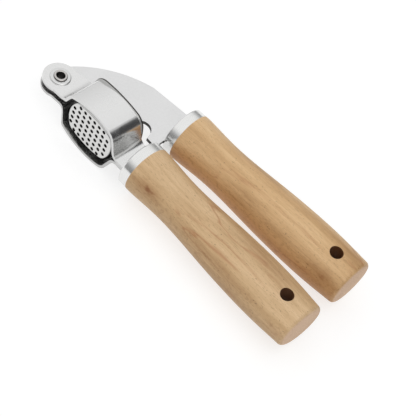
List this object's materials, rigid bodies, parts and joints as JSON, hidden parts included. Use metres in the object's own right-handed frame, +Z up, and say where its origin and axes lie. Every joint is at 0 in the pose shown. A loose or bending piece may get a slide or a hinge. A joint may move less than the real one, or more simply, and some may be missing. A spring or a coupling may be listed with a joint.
{
  "type": "garlic press",
  "caption": "Hand-held garlic press: a perforated steel cup between side plates, a hinged lever blade with a swinging press foot, and two oval wooden handles.",
  "frame": {"origin": "middle of the underside of the closed press, lying on its side", "axes": "+X from the pivot towards the handles' free ends, +Y from the fixed lower handle towards the lever's handle, +Z up along the pivot's axis"},
  "size_m": [0.1793, 0.0668, 0.0312],
  "materials": {
    "pressed_steel": "satin pressed stainless sheet",
    "sieve_steel": "satin stainless sheet",
    "blade_steel": "fine matt stainless plate",
    "fastener_steel": "satin",
    "ferrule_steel": "polished stainless collar",
    "handle_wood": "light beech, sealed and lightly sanded"
  },
  "bodies": {
    "frame": {"near_side_plate": "pressed_steel", "far_side_plate": "pressed_steel", "sieve_cup": "sieve_steel", "pivot_rivet": "fastener_steel", "rivet_washer_near": "pressed_steel", "rivet_washer_far": "pressed_steel", "pivot_spacer_near": "fastener_steel", "pivot_spacer_far": "fastener_steel", "pivot_bush": "fastener_steel", "tang_rivets": "fastener_steel", "lower_ferrule": "ferrule_steel", "lower_handle": "handle_wood"},
    "lever": {"lever_blade": "blade_steel", "upper_ferrule": "ferrule_steel", "upper_handle": "handle_wood", "foot_pin": "fastener_steel", "foot_washers": "fastener_steel"},
    "plunger": {"press_foot": "sieve_steel", "foot_yoke": "blade_steel", "foot_rivets": "fastener_steel"}
  },
  "joints": [
    {"name": "lever_pivot", "type": "hinge", "parent": "frame", "child": "lever", "pos_m": [-0.08086, -0.02127, 0.0156], "axis": [0, 0, 1], "range_deg": [0, 115]},
    {"name": "plunger_pivot", "type": "hinge", "parent": "lever", "child": "plunger", "pos_m": [-0.04966, -0.01987, 0.0156], "axis": [0, 0, 1], "range_deg": [0, 36]}
  ],
  "couplings": [
    {"joint": "plunger_pivot", "follows": "lever_pivot", "ratio": 0.3}
  ]
}
